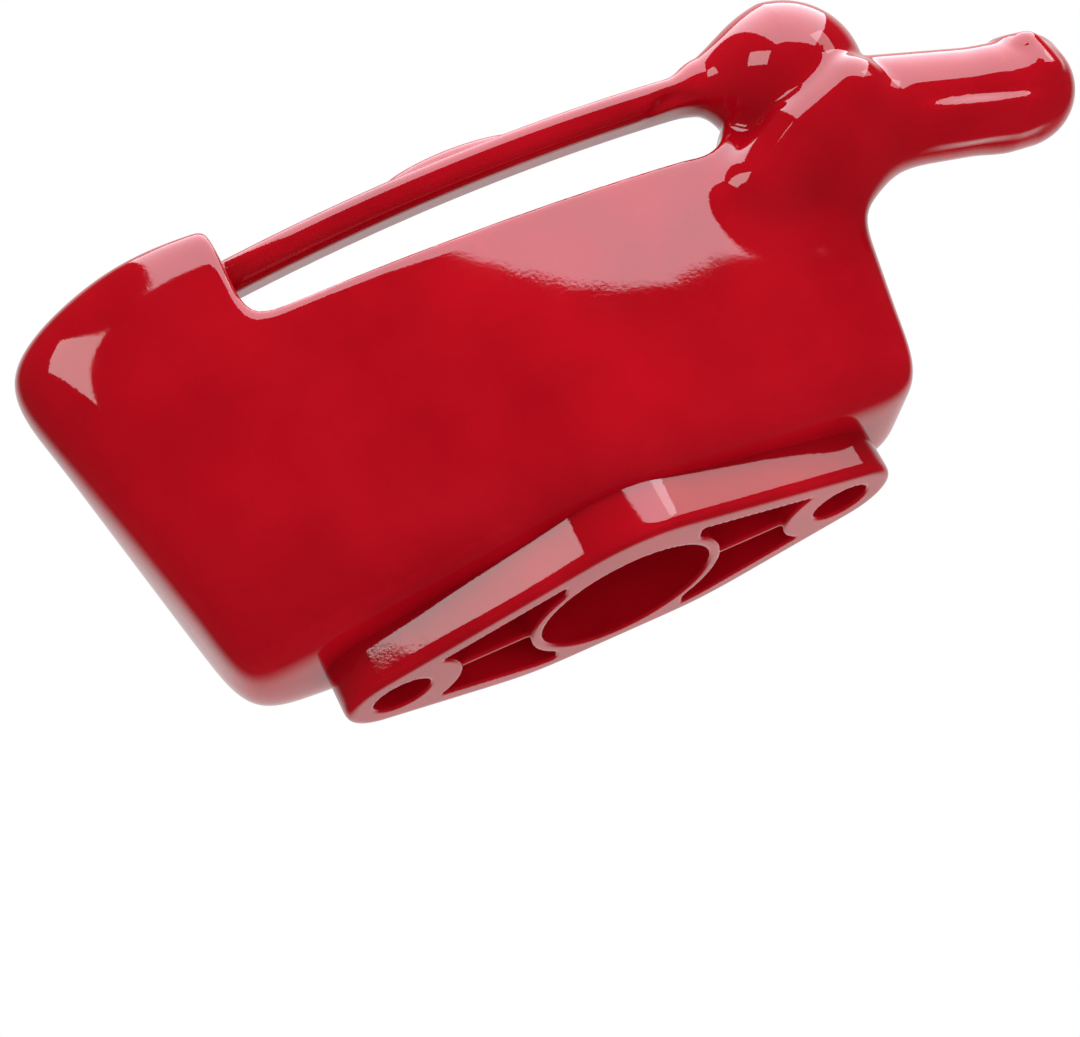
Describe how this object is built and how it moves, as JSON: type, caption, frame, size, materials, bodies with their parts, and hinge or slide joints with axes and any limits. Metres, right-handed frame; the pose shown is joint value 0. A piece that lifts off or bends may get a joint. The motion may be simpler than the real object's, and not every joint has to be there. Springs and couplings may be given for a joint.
{
  "type": "tyre changer mount and demount head",
  "caption": "Moulded nylon mount and demount head for a tyre changer: bored bolt-on flange, flared body, bead rail with a slot under it, and a demount finger.",
  "frame": {"origin": "centre of the central bore's mouth, on the flat face of the mounting flange", "axes": "+Z runs from the flange face along the bore axis into the body, so the head hangs along -Z when it is mounted; +X runs along the line of the two bolt holes towards the demount finger; -Y is the broad outer face, away from the wheel's centre"},
  "size_m": [0.2042, 0.0669, 0.0874],
  "materials": {
    "red_nylon": "high gloss moulded red nylon"
  },
  "bodies": {
    "root": {"mounting_flange": "red_nylon", "flange_rib_left": "red_nylon", "flange_rib_right": "red_nylon", "bore_collar": "red_nylon", "bolt_sleeve_left": "red_nylon", "bolt_sleeve_right": "red_nylon", "foot_block": "red_nylon", "body_panel": "red_nylon", "trailing_lobe": "red_nylon", "leading_lobe": "red_nylon", "bead_rail": "red_nylon", "demount_finger": "red_nylon", "finger_lip": "red_nylon"}
  },
  "joints": []
}
